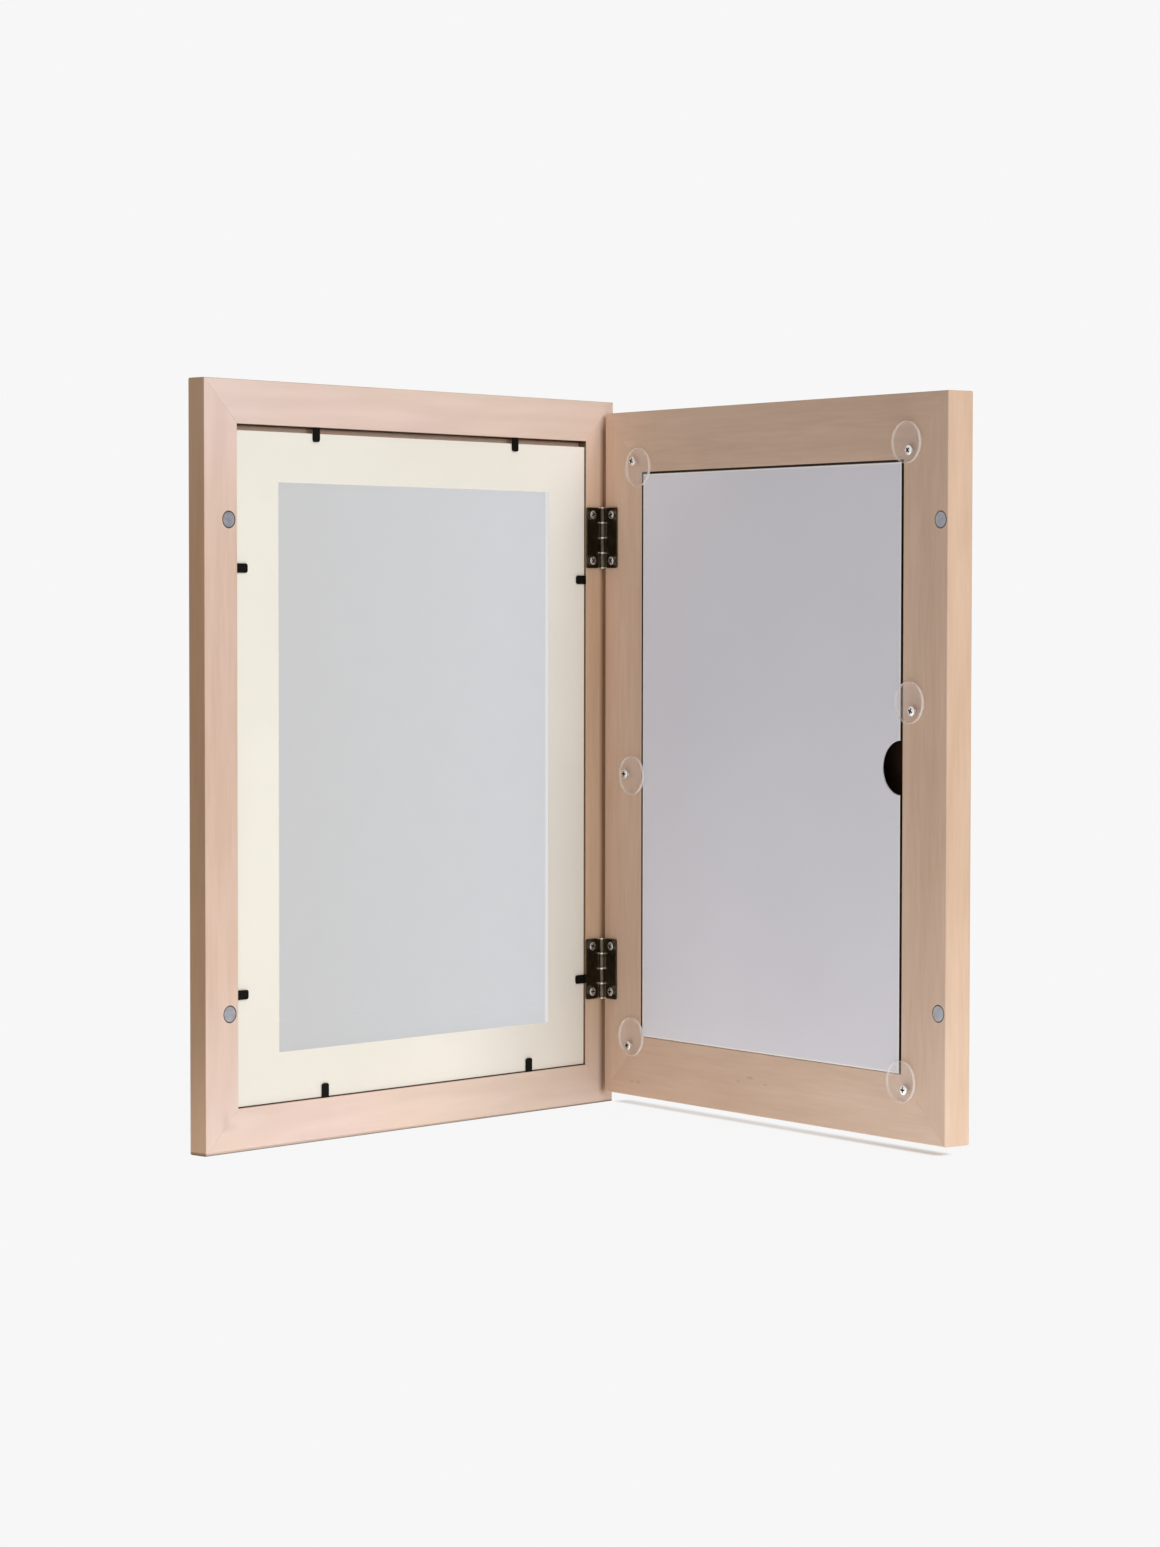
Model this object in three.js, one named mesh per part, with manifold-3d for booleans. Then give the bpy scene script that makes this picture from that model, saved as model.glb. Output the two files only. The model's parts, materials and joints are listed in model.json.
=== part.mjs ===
// A front opening frame for children's drawings, standing open like a book.
// The door is a mitred moulding that holds a clear pane and a window mat.
// The box behind it stores drawings under a loose panel, which six eccentric buttons keep in place.
// Lengths are in millimetres and +Z is up. The back of the box lies in the plane Y = 0, its face
// looks along -Y, and the origin is the middle of its back.

import * as THREE from 'three';
import { mergeVertices } from 'three/addons/utils/BufferGeometryUtils.js';
import Module from 'manifold-3d';

const wasm = await Module();
wasm.setup();

// Door moulding
const doorWidth = 302;
const doorHeight = 385;
const doorDepth = 13;
const doorMemberWidth = 22;
const doorLipWidth = 6;
const doorFrontRounding = 2.6;
const openAngleDegrees = 78.6;

// Pane and mat in the rabbet of the door
const paneThickness = 2;
const paneClearance = 0.5;
const matThickness = 1.4;
const matSideClearance = 0.4;
const matFootClearance = 0.5;
const matHeadClearance = 3.2;
const matSideBorder = 28.6;
const matEndBorder = 25.15;

// Flexible tabs that keep the mat in the rabbet
const tabWidth = 4.7;
const tabThickness = 0.6;
const tabReach = 7.3;
const tabRootLength = 5;
const tabRootPointWidth = 1.6;
const tabCornerRadius = 1.2;
const tabSetBack = 0.35;
const tabSlotClearance = 0.12;

// Storage box
const sideOverhang = 11;
const endOverhang = 6.5;
const boxDepth = 17;
const boxMemberWidth = 33;
const boxBackRounding = 1.8;
const edgeRounding = 0.5;
const ledgeWidth = 3.5;
const backPanelThickness = 3;
const backRabbetWidth = 6;
const backPanelClearance = 0.3;

// Loose panel over the store, a thin sheet that stands on the foot of its opening
const panelThickness = 1;
const panelSetBack = 0.2;
const panelHingeClearance = 0.8;
const panelFreeClearance = 1.6;
const panelFootClearance = 0.2;
const panelHeadClearance = 1;
const panelEdgeChamfer = 0.25;
const fingerNotchRadius = 13.7;

// Butt hinges
const hingeLength = 33;
const hingeEndDistance = 74.4;
const leafReach = 11.4;
const leafThickness = 0.85;
const leafCornerRadius = 0.8;
const leafScrewOffset = 6.4;
const leafScrewEndDistance = 4;
const knuckleRadius = 1.75;
const knuckleCount = 4;
const knuckleEndGap = 0.15;
const knuckleNotchClearance = 0.25;
const hingePinRadius = 0.85;
const hingePinClearance = 0.08;
const hingePinStandOut = 0.35;
const hingePinChamfer = 0.25;

// Countersunk screws of the hinges and of the hanger plates
const hingeScrewHeadRadius = 2.3;
const hingeScrewShankRadius = 1.1;
const hingeScrewLength = 8;
const hangerScrewHeadRadius = 2.7;
const hangerScrewShankRadius = 1.35;
const hangerScrewLength = 10;
const screwHeadRim = 0.2;
const screwTipLength = 2;
const screwClearance = 0.1;

// Turn buttons and their pan head screws
const buttonRadius = 10.5;
const buttonThickness = 2;
const buttonEccentricity = 5;
const buttonEdgeChamfer = 0.25;
const buttonScrewHeadRadius = 2.5;
const buttonScrewHeadHeight = 0.8;
const buttonScrewShankRadius = 1.1;
const buttonScrewDepth = 8;
const headGap = 0.1;

// Cross recess of every screw, as shares of the radius of its head
const recessArmShare = 0.6;
const recessWidthShare = 0.3;
const recessDepthShare = 0.24;

// Magnets
const magnetRadius = 4.35;
const magnetThickness = 3;
const magnetChamfer = 0.2;
const magnetClearance = 0.1;
const magnetEdgeDistance = 5.3;
const magnetEndDistance = 69.6;
const lowerBoxMagnetLift = 2.6;

// Keyhole hanger plates in the back
const hangerPlateLength = 38;
const hangerPlateWidth = 18;
const hangerPlateThickness = 1.5;
const hangerCornerRadius = 3;
const hangerScrewEndDistance = 5;
const keyholeRadius = 4.6;
const keyholeSlotWidth = 4.6;
const keyholeDrop = 2.6;
const keyholeRise = 7.2;
const hangerPocketDepth = 7;
const hangerPocketMargin = 0.5;

// Fits that the pieces share
const restGap = 0.25;
const mitreGap = 0.05;
const cutOverrun = 2;

// Steps in the full circle of a turned form
const knuckleSteps = 20;
const screwSteps = 16;
const domeSteps = 3;

// Pairs of steps in each arc of an outline
const discArcPairs = 20;
const notchArcPairs = 9;
const keyholeArcPairs = 5;
const mouldingArcPairs = 2;
const cornerArcPairs = 1;

// Places chosen by hand, as shares of what they follow
// Tabs of the rails: place along the opening of the door from the hinge side, in its widths
const railTabShares = { top: [0.217, 0.787], bottom: [0.174, 0.765] };
// Tabs of the hinge stile: how far they lie out from the middle of a hinge, in its lengths
const hingeTabShares = { lower: 0.16, upper: -0.697 };
// Tabs of the free stile: how far they lie in from the middle of a magnet, in its radii
const freeTabShares = { lower: 2.07, upper: 5.5 };
// Corner buttons: how far the screw lies out of the opening, in widths of the box members
const cornerButtonShares = [
  { name: 'hinge_top', side: -1, end: 1, outShare: 0.18, endShare: 0.185, degrees: -41 },
  { name: 'hinge_bottom', side: -1, end: -1, outShare: 0.27, endShare: 0.165, degrees: 71 },
  { name: 'free_top', side: 1, end: 1, outShare: 0.19, endShare: 0.137, degrees: 126 },
  { name: 'free_bottom', side: 1, end: -1, outShare: 0.142, endShare: 0.218, degrees: 132 },
];
// Side buttons: the same, and their height as a share of the opening
const sideButtonShares = [
  { name: 'hinge_middle', side: -1, outShare: 0.37, heightShare: 0.466, degrees: -8 },
  { name: 'free_middle', side: 1, outShare: 0.276, heightShare: 0.593, degrees: 124 },
];

// Sizes that follow from the ones above
const boxWidth = doorWidth - 2 * sideOverhang;
const boxHeight = doorHeight - 2 * endOverhang;
const boxOpeningWidth = boxWidth - 2 * boxMemberWidth;
const boxOpeningHeight = boxHeight - 2 * boxMemberWidth;
const doorOpeningWidth = doorWidth - 2 * doorMemberWidth;
const doorOpeningHeight = doorHeight - 2 * doorMemberWidth;
const matDepth = tabSetBack + tabThickness + restGap;
const paneDepth = matDepth + matThickness + restGap;
const doorRabbetDepth = paneDepth + paneThickness + restGap;
const panelSeatDepth = panelSetBack + panelThickness + restGap;
const backSeatDepth = boxDepth - backPanelThickness - restGap;
const axisStandOff = knuckleRadius + restGap;
const hingeZ = doorHeight / 2 - hingeEndDistance;
const magnetZ = doorHeight / 2 - magnetEndDistance;
const hangerEdgeDistance = (boxMemberWidth - backRabbetWidth) / 2;
const leafScrewZ = hingeLength / 2 - leafScrewEndDistance;
const panelWidth = boxOpeningWidth - panelHingeClearance - panelFreeClearance;
const panelHeight = boxOpeningHeight - panelFootClearance - panelHeadClearance;
const panelX = (panelHingeClearance - panelFreeClearance) / 2;
const panelZ = (panelFootClearance - panelHeadClearance) / 2;
const doorCentreX = doorWidth / 2 - sideOverhang;
const openAngle = THREE.MathUtils.degToRad(openAngleDegrees);

// Planes that the two leaves of the book turn toward each other
// The box's face is measured from its back, the door's inner face from the hinge axis
const boxFace = -boxDepth;
const doorInnerFace = -axisStandOff;

// Which way a fitting looks: its own +Z turned to -Y or to +Y
const towardFront = Math.PI / 2;
const towardBack = -Math.PI / 2;

const finishes = {
  doorWood: { color: 0xe3c9b8, roughness: 0.6, metalness: 0 },
  boxWood: { color: 0xd9b99e, roughness: 0.6, metalness: 0 },
  backBoard: { color: 0x9b7656, roughness: 0.8, metalness: 0 },
  panel: { color: 0xc9c8cf, roughness: 0.45, metalness: 0 },
  clear: { color: 0xf2f5f5, roughness: 0.05, metalness: 0, transparent: true, opacity: 0.3 },
  mat: { color: 0xf0ece0, roughness: 0.9, metalness: 0 },
  tab: { color: 0x151412, roughness: 0.5, metalness: 0.2 },
  magnet: { color: 0xa3a5ad, roughness: 0.4, metalness: 0.8 },
  hinge: { color: 0x5c5448, roughness: 0.25, metalness: 1 },
  screw: { color: 0xc9c7c1, roughness: 0.25, metalness: 1 },
  hanger: { color: 0xb4b4b0, roughness: 0.35, metalness: 1 },
};

// Solids and meshes

// Closed solid of a geometry, with its shared corners joined
function solid(geometry) {
  const plain = new THREE.BufferGeometry();
  plain.setAttribute('position', geometry.attributes.position.clone());
  if (geometry.index) plain.setIndex(geometry.index.clone());
  const merged = mergeVertices(plain);
  const index = merged.index.array;
  const triangles = [];
  for (let i = 0; i < index.length; i += 3) {
    const [a, b, c] = [index[i], index[i + 1], index[i + 2]];
    if (a !== b && b !== c && c !== a) triangles.push(a, b, c);
  }
  const vertProperties = new Float32Array(merged.attributes.position.array);
  const triVerts = new Uint32Array(triangles);
  return new wasm.Manifold(new wasm.Mesh({ numProp: 3, vertProperties, triVerts }));
}

function geometryOf(body) {
  const mesh = body.getMesh();
  const geometry = new THREE.BufferGeometry();
  geometry.setAttribute('position', new THREE.BufferAttribute(mesh.vertProperties, 3));
  geometry.setIndex(new THREE.BufferAttribute(mesh.triVerts, 1));
  return geometry;
}

function cut(body, tools) {
  return tools.reduce((rest, tool) => rest.subtract(solid(tool)), body);
}

function piece(name, body, finish) {
  const geometry = geometryOf(body).toNonIndexed();
  geometry.computeVertexNormals();
  const mesh = new THREE.Mesh(geometry, new THREE.MeshStandardMaterial(finishes[finish]));
  mesh.name = name;
  return mesh;
}

function place(mesh, [x, y, z], tilt = 0, spin = 0) {
  mesh.position.set(x, y, z);
  mesh.rotation.set(tilt, 0, spin);
  return mesh;
}

// Hole in the wood around a fitting that is already placed
function holeAt(fitting, hole) {
  fitting.updateMatrix();
  return hole.clone().applyMatrix4(fitting.matrix);
}

// Outlines and simple geometries

// Closed outline through [x, y, radius] corners, each rounded by its radius
function outline(corners) {
  const shape = new THREE.Shape();
  corners.forEach(([x, y, radius = 0], i) => {
    const corner = new THREE.Vector2(x, y);
    const before = new THREE.Vector2(...corners.at(i - 1)).sub(corner).normalize();
    const after = new THREE.Vector2(...corners[(i + 1) % corners.length]).sub(corner).normalize();
    const halfAngle = Math.acos(before.dot(after)) / 2;
    const reach = radius / Math.tan(halfAngle);
    const start = corner.clone().addScaledVector(before, reach);
    const end = corner.clone().addScaledVector(after, reach);
    if (i === 0) shape.moveTo(start.x, start.y);
    else shape.lineTo(start.x, start.y);
    if (radius === 0) return;
    const middle = before.clone().add(after).normalize();
    const centre = corner.clone().addScaledVector(middle, radius / Math.sin(halfAngle));
    const from = start.clone().sub(centre).angle();
    const to = end.clone().sub(centre).angle();
    const clockwise = before.cross(after) > 0;
    shape.absarc(centre.x, centre.y, radius, from, to, clockwise);
  });
  shape.closePath();
  return shape;
}

function rectangle(width, height, radius = 0) {
  return outline([
    [-width / 2, -height / 2, radius],
    [width / 2, -height / 2, radius],
    [width / 2, height / 2, radius],
    [-width / 2, height / 2, radius],
  ]);
}

// Prism of a shape from z = low upwards
function prism(shape, depth, low, curveSegments = cornerArcPairs) {
  const geometry = new THREE.ExtrudeGeometry(shape, { depth, bevelEnabled: false, curveSegments });
  return geometry.translate(0, 0, low);
}

// Prism whose upper and lower edges are chamfered within the shape's own outline
function easedPrism(shape, depth, low, chamfer, curveSegments) {
  const geometry = new THREE.ExtrudeGeometry(shape, {
    depth: depth - 2 * chamfer,
    bevelThickness: chamfer,
    bevelSize: chamfer,
    bevelOffset: -chamfer,
    bevelSegments: 1,
    curveSegments,
  });
  return geometry.translate(0, 0, low + chamfer);
}

// Turned form about Z, from [radius, z] points that start and end on the axis
function turned(points, steps) {
  const profile = points.map(([radius, z]) => new THREE.Vector2(radius, z));
  const falls = profile.at(0).y > profile.at(-1).y;
  if (falls) profile.reverse();
  return new THREE.LatheGeometry(profile, steps).rotateX(Math.PI / 2);
}

function cylinder(radius, low, high, steps) {
  return turned([[0, low], [radius, low], [radius, high], [0, high]], steps);
}

// Mouldings

// Straight member of a mitred frame, centred along its own Z, with its outer edge at x = -span / 2
function mitredMember(profile, span, length) {
  const geometry = prism(profile, length, -length / 2, mouldingArcPairs);
  const position = geometry.attributes.position;
  const gapShift = (mitreGap / 2) * Math.SQRT2;
  for (let i = 0; i < position.count; i += 1) {
    const shift = position.getX(i) + gapShift;
    position.setZ(i, position.getZ(i) - Math.sign(position.getZ(i)) * shift);
  }
  return geometry.translate(-span / 2, 0, 0);
}

// Four members round a rectangle, each given as its name, quarter turn and sizes
function memberPlan(width, height) {
  return [
    { name: 'stile_hinge', turn: 0, span: width, length: height },
    { name: 'rail_top', turn: 1, span: height, length: width },
    { name: 'stile_free', turn: 2, span: width, length: height },
    { name: 'rail_bottom', turn: 3, span: height, length: width },
  ];
}

function doorMemberProfile() {
  const lip = doorMemberWidth + doorLipWidth;
  return outline([
    [0, 0, edgeRounding],
    [doorMemberWidth, 0, edgeRounding],
    [doorMemberWidth, -doorRabbetDepth],
    [lip, -doorRabbetDepth],
    [lip, -doorDepth, doorFrontRounding / 2],
    [0, -doorDepth, doorFrontRounding],
  ]);
}

function boxMemberProfile() {
  return outline([
    [0, 0, edgeRounding],
    [boxMemberWidth, 0, edgeRounding],
    [boxMemberWidth, backSeatDepth],
    [boxMemberWidth - backRabbetWidth, backSeatDepth],
    [boxMemberWidth - backRabbetWidth, boxDepth, edgeRounding],
    [0, boxDepth, boxBackRounding],
  ]);
}

// Ledge on a box rail, behind the loose panel and in front of the back panel
function ledge(span) {
  const width = ledgeWidth + edgeRounding;
  const depth = backSeatDepth - panelSeatDepth;
  const length = boxOpeningWidth - 2 * restGap;
  const block = new THREE.BoxGeometry(width, depth, length);
  const x = boxMemberWidth - edgeRounding + width / 2 - span / 2;
  return block.translate(x, panelSeatDepth + depth / 2, 0);
}

function members(prefix, finish, plan, shapeOf, holes) {
  return plan.map((member) => {
    const turnY = new THREE.Matrix4().makeRotationY((member.turn * Math.PI) / 2);
    const back = turnY.clone().invert();
    const tools = holes.map((hole) => hole.clone().applyMatrix4(back));
    const mesh = piece(`${prefix}_${member.name}`, cut(shapeOf(member), tools), finish);
    mesh.rotation.y = (member.turn * Math.PI) / 2;
    return mesh;
  });
}

// Screws

function crossRecess(headRadius, top) {
  const arm = 2 * recessArmShare * headRadius;
  const width = recessWidthShare * headRadius;
  const depth = recessDepthShare * headRadius;
  const height = depth + cutOverrun;
  return [[arm, width], [width, arm]].map(([x, y]) => {
    const bar = new THREE.BoxGeometry(x, y, height);
    return bar.translate(0, 0, top - depth + height / 2);
  });
}

// Turned outline of a countersunk screw whose head is flush with z = 0, widened by a clearance
function countersunkProfile(headRadius, shankRadius, length, clearance = 0) {
  const coneFoot = -screwHeadRim - (headRadius - shankRadius);
  return [
    [0, 0],
    [headRadius + clearance, 0],
    [headRadius + clearance, -screwHeadRim],
    [shankRadius + clearance, coneFoot],
    [shankRadius + clearance, screwTipLength - length - clearance],
    [0, -length - clearance],
  ];
}

function countersunkScrew(name, headRadius, shankRadius, length) {
  const blank = turned(countersunkProfile(headRadius, shankRadius, length), screwSteps);
  return piece(name, cut(solid(blank), crossRecess(headRadius, 0)), 'screw');
}

// Hole for a countersunk screw: its own form with clearance, and free above the head
function countersunkHole(headRadius, shankRadius, length) {
  const profile = countersunkProfile(headRadius, shankRadius, length, screwClearance);
  profile.splice(0, 2, [0, cutOverrun], [headRadius + screwClearance, cutOverrun]);
  return turned(profile, screwSteps);
}

// Pan head screw that stands on a turn button; z = 0 is the wood
function buttonScrew(name) {
  const under = restGap + buttonThickness + headGap;
  const top = under + buttonScrewHeadHeight;
  const dome = new THREE.EllipseCurve(
    0, under, buttonScrewHeadRadius, buttonScrewHeadHeight, Math.PI / 2, 0, true,
  );
  const points = dome.getPoints(domeSteps).map((point) => [point.x, point.y]);
  points[0] = [0, top];
  points.push(
    [buttonScrewShankRadius, under],
    [buttonScrewShankRadius, screwTipLength - buttonScrewDepth],
    [0, -buttonScrewDepth],
  );
  const blank = solid(turned(points, screwSteps));
  return piece(name, cut(blank, crossRecess(buttonScrewHeadRadius, top)), 'screw');
}

function buttonScrewHole() {
  const radius = buttonScrewShankRadius + screwClearance;
  return turned(
    [
      [0, cutOverrun],
      [radius, cutOverrun],
      [radius, screwTipLength - buttonScrewDepth - screwClearance],
      [0, -buttonScrewDepth - screwClearance],
    ],
    screwSteps,
  );
}

// Turn buttons

// Clear disc that turns about the origin; its middle lies off to +X
function turnButton(name) {
  const disc = new THREE.Shape().absarc(buttonEccentricity, 0, buttonRadius, 0, 2 * Math.PI);
  const blank = solid(easedPrism(disc, buttonThickness, restGap, buttonEdgeChamfer, discArcPairs));
  const radius = buttonScrewShankRadius + screwClearance;
  const bore = cylinder(radius, -cutOverrun, buttonThickness + cutOverrun, screwSteps);
  return piece(name, cut(blank, [bore]), 'clear');
}

function buttonPlan() {
  const corners = cornerButtonShares.map((plan) => ({
    ...plan,
    x: plan.side * (boxOpeningWidth / 2 + plan.outShare * boxMemberWidth),
    z: plan.end * (boxOpeningHeight / 2 + plan.endShare * boxMemberWidth),
  }));
  const sides = sideButtonShares.map((plan) => ({
    ...plan,
    x: plan.side * (boxOpeningWidth / 2 + plan.outShare * boxMemberWidth),
    z: (plan.heightShare - 1 / 2) * boxOpeningHeight,
  }));
  return [...corners, ...sides];
}

// Magnets

function magnet(name) {
  const points = [
    [0, 0],
    [magnetRadius - magnetChamfer, 0],
    [magnetRadius, -magnetChamfer],
    [magnetRadius, -magnetThickness],
    [0, -magnetThickness],
  ];
  return piece(name, solid(turned(points, knuckleSteps)), 'magnet');
}

function magnetHole() {
  const radius = magnetRadius + magnetClearance;
  return cylinder(radius, -magnetThickness - restGap, cutOverrun, knuckleSteps);
}

// Hinges

// Height of the foot of a knuckle above the middle of the hinge
function knuckleFoot(index) {
  return hingeLength / 2 - ((index + 1) * hingeLength) / knuckleCount;
}

// Leaf with every second knuckle, starting at firstKnuckle; side is the way to the wood along Y
function hingeLeaf(name, side, firstKnuckle) {
  const pitch = hingeLength / knuckleCount;
  const plate = outline([
    [0, -hingeLength / 2],
    [leafReach, -hingeLength / 2, leafCornerRadius],
    [leafReach, hingeLength / 2, leafCornerRadius],
    [0, hingeLength / 2],
  ]);
  const plateFoot = side > 0 ? -knuckleRadius : knuckleRadius - leafThickness;
  const flat = prism(plate, leafThickness, plateFoot).rotateX(Math.PI / 2);
  let body = solid(flat);
  for (let index = 0; index < knuckleCount; index += 1) {
    const foot = knuckleFoot(index);
    if (index % 2 === firstKnuckle) {
      const low = foot + knuckleEndGap / 2;
      body = body.add(solid(cylinder(knuckleRadius, low, low + pitch - knuckleEndGap, knuckleSteps)));
    } else {
      const width = 2 * (knuckleRadius + knuckleNotchClearance);
      const notch = new THREE.BoxGeometry(width, width, pitch + knuckleEndGap);
      body = cut(body, [notch.translate(0, 0, foot + pitch / 2)]);
    }
  }
  const boreRadius = hingePinRadius + hingePinClearance;
  const bore = cylinder(boreRadius, -hingeLength, hingeLength, knuckleSteps);
  const face = side * (knuckleRadius - leafThickness);
  const screwHoles = [leafScrewZ, -leafScrewZ].map((z) => {
    const hole = countersunkHole(hingeScrewHeadRadius, hingeScrewShankRadius, hingeScrewLength);
    return hole.rotateX(side * towardFront).translate(leafScrewOffset, face, z);
  });
  return piece(name, cut(body, [bore, ...screwHoles]), 'hinge');
}

function hingePin(name) {
  const half = hingeLength / 2 + hingePinStandOut;
  const points = [
    [0, -half],
    [hingePinRadius - hingePinChamfer, -half],
    [hingePinRadius, hingePinChamfer - half],
    [hingePinRadius, half - hingePinChamfer],
    [hingePinRadius - hingePinChamfer, half],
    [0, half],
  ];
  return piece(name, solid(turned(points, knuckleSteps)), 'hinge');
}

// Hinge leaves and screws of one leaf of the book; side is the way to its wood along Y
function hingeSet(prefix, side, firstKnuckle) {
  const face = side * (knuckleRadius - leafThickness);
  const leaves = [];
  const screws = [];
  for (const [level, z] of [['upper', hingeZ], ['lower', -hingeZ]]) {
    leaves.push(place(hingeLeaf(`hinge_leaf_${prefix}_${level}`, side, firstKnuckle), [0, 0, z]));
    for (const [end, offset] of [['top', leafScrewZ], ['bottom', -leafScrewZ]]) {
      const name = `hinge_screw_${prefix}_${level}_${end}`;
      const screw = countersunkScrew(
        name, hingeScrewHeadRadius, hingeScrewShankRadius, hingeScrewLength,
      );
      screws.push(place(screw, [leafScrewOffset, face, z + offset], side * towardFront));
    }
  }
  return { leaves, screws };
}

// Hangers

// Round hole with a slot above it, about the middle of the plate
function keyhole() {
  const slot = keyholeSlotWidth / 2;
  const joint = Math.asin(slot / keyholeRadius);
  const path = new THREE.Path();
  path.absarc(0, -keyholeDrop, keyholeRadius, Math.PI / 2 + joint, Math.PI / 2 - joint);
  path.absarc(0, keyholeRise - keyholeDrop, slot, 0, Math.PI);
  return path;
}

// Pocket behind the keyhole, wide enough for the head of the nail all the way up
function pocket() {
  const half = keyholeRadius + hangerPocketMargin;
  const foot = -keyholeDrop - half;
  const head = keyholeRise - keyholeDrop + keyholeSlotWidth / 2 + hangerPocketMargin;
  return outline([
    [-half, foot, half / 2],
    [half, foot, half / 2],
    [half, head, half / 2],
    [-half, head, half / 2],
  ]);
}

// Plate whose outer face is z = 0, with the slot of its keyhole toward +Y
function hangerPlate(name) {
  const shape = rectangle(hangerPlateLength, hangerPlateWidth, hangerCornerRadius);
  shape.holes.push(keyhole());
  const blank = solid(
    prism(shape, hangerPlateThickness, -hangerPlateThickness, keyholeArcPairs),
  );
  const holes = [1, -1].map((side) => {
    const hole = countersunkHole(hangerScrewHeadRadius, hangerScrewShankRadius, hangerScrewLength);
    return hole.translate(side * (hangerPlateLength / 2 - hangerScrewEndDistance), 0, 0);
  });
  return piece(name, cut(blank, holes), 'hanger');
}

// Bed for the plate and the deeper pocket behind its keyhole
function hangerBed() {
  const length = hangerPlateLength + 2 * restGap;
  const width = hangerPlateWidth + 2 * restGap;
  const depth = hangerPlateThickness + restGap;
  const bed = rectangle(length, width, hangerCornerRadius);
  return [
    prism(bed, depth + cutOverrun, -depth),
    prism(pocket(), hangerPocketDepth, -hangerPocketDepth),
  ];
}

function hanger(label, [x, z], spin) {
  const plate = place(hangerPlate(`hanger_plate_${label}`), [x, 0, z], towardBack, spin);
  const reach = hangerPlateLength / 2 - hangerScrewEndDistance;
  const screws = [['first', 1], ['second', -1]].map(([order, side]) => {
    const name = `hanger_screw_${label}_${order}`;
    const screw = countersunkScrew(
      name, hangerScrewHeadRadius, hangerScrewShankRadius, hangerScrewLength,
    );
    const offset = new THREE.Vector2(side * reach, 0).rotateAround(new THREE.Vector2(), spin);
    return place(screw, [x + offset.x, 0, z - offset.y], towardBack, spin);
  });
  const screwHole = countersunkHole(
    hangerScrewHeadRadius, hangerScrewShankRadius, hangerScrewLength,
  );
  const holes = [
    ...hangerBed().map((bed) => holeAt(plate, bed)),
    ...screws.map((screw) => holeAt(screw, screwHole)),
  ];
  return { meshes: [plate, ...screws], holes };
}

// Tabs

// Thin tab that stands out of the rabbet wall toward +X, with its root in the wood
function tabShape(clearance) {
  const half = tabWidth / 2 + clearance;
  const point = tabRootPointWidth / 2 + clearance;
  const corner = clearance > 0 ? 0 : tabCornerRadius;
  return outline([
    [-tabRootLength - clearance, -point],
    [-tabRootPointWidth, -half],
    [tabReach, -half, corner],
    [tabReach, half, corner],
    [-tabRootPointWidth, half],
    [-tabRootLength - clearance, point],
  ]);
}

function tab(name) {
  const low = -tabSetBack - tabThickness;
  return piece(name, solid(prism(tabShape(0), tabThickness, low, mouldingArcPairs)), 'tab');
}

function tabSlot() {
  const low = -tabSetBack - tabThickness - tabSlotClearance;
  return prism(tabShape(tabSlotClearance), tabThickness + 2 * tabSlotClearance, low);
}

// Places of the tabs round the opening of the door, about the middle of the door
function tabPlan() {
  const x = doorOpeningWidth / 2;
  const z = doorOpeningHeight / 2;
  const across = (share) => (share - 1 / 2) * doorOpeningWidth;
  const besideHinge = (share) => hingeZ + share * hingeLength;
  const besideMagnet = (share) => magnetZ - share * magnetRadius;
  return [
    ...railTabShares.top.map((share) => ['top', across(share), z, Math.PI / 2]),
    ...railTabShares.bottom.map((share) => ['bottom', across(share), -z, -Math.PI / 2]),
    ['hinge', -x, -besideHinge(hingeTabShares.lower), 0],
    ['hinge', -x, besideHinge(hingeTabShares.upper), 0],
    ['free', x, -besideMagnet(freeTabShares.lower), Math.PI],
    ['free', x, besideMagnet(freeTabShares.upper), Math.PI],
  ];
}

// Sheets

function pane() {
  const width = doorOpeningWidth - 2 * paneClearance;
  const height = doorOpeningHeight - 2 * paneClearance;
  return new THREE.BoxGeometry(width, paneThickness, height);
}

// Mat whose window widens toward the front by its own thickness, as a slanted knife cuts it
function matBoard() {
  const width = doorOpeningWidth - 2 * matSideClearance;
  const height = doorOpeningHeight - matFootClearance - matHeadClearance;
  const board = new THREE.BoxGeometry(width, matThickness, height);
  const windowWidth = width - 2 * matSideBorder;
  const windowHeight = height - 2 * matEndBorder;
  const cutter = new THREE.BoxGeometry(windowWidth, 2 * matThickness, windowHeight);
  const position = cutter.attributes.position;
  for (let i = 0; i < position.count; i += 1) {
    const [x, y, z] = [position.getX(i), position.getY(i), position.getZ(i)];
    const spread = matThickness / 2 - y;
    position.setX(i, x + Math.sign(x) * spread);
    position.setZ(i, z + Math.sign(z) * spread);
  }
  return cut(solid(board), [cutter]);
}

function displayPanel() {
  const x = panelWidth / 2;
  const z = panelHeight / 2;
  const shape = new THREE.Shape();
  shape.moveTo(-x, -z);
  shape.lineTo(x, -z);
  shape.absarc(x, -panelZ, fingerNotchRadius, -Math.PI / 2, Math.PI / 2, true);
  shape.lineTo(x, z);
  shape.lineTo(-x, z);
  shape.closePath();
  return easedPrism(shape, panelThickness, 0, panelEdgeChamfer, notchArcPairs);
}

// Box

function boxButtons() {
  const meshes = [];
  const holes = [];
  for (const { name, x, z, degrees } of buttonPlan()) {
    const spin = THREE.MathUtils.degToRad(degrees);
    const button = place(turnButton(`turn_button_${name}`), [x, boxFace, z], towardFront, spin);
    const screw = place(buttonScrew(`button_screw_${name}`), [x, boxFace, z], towardFront);
    meshes.push(button, screw);
    holes.push(holeAt(screw, buttonScrewHole()));
  }
  return { meshes, holes };
}

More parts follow.
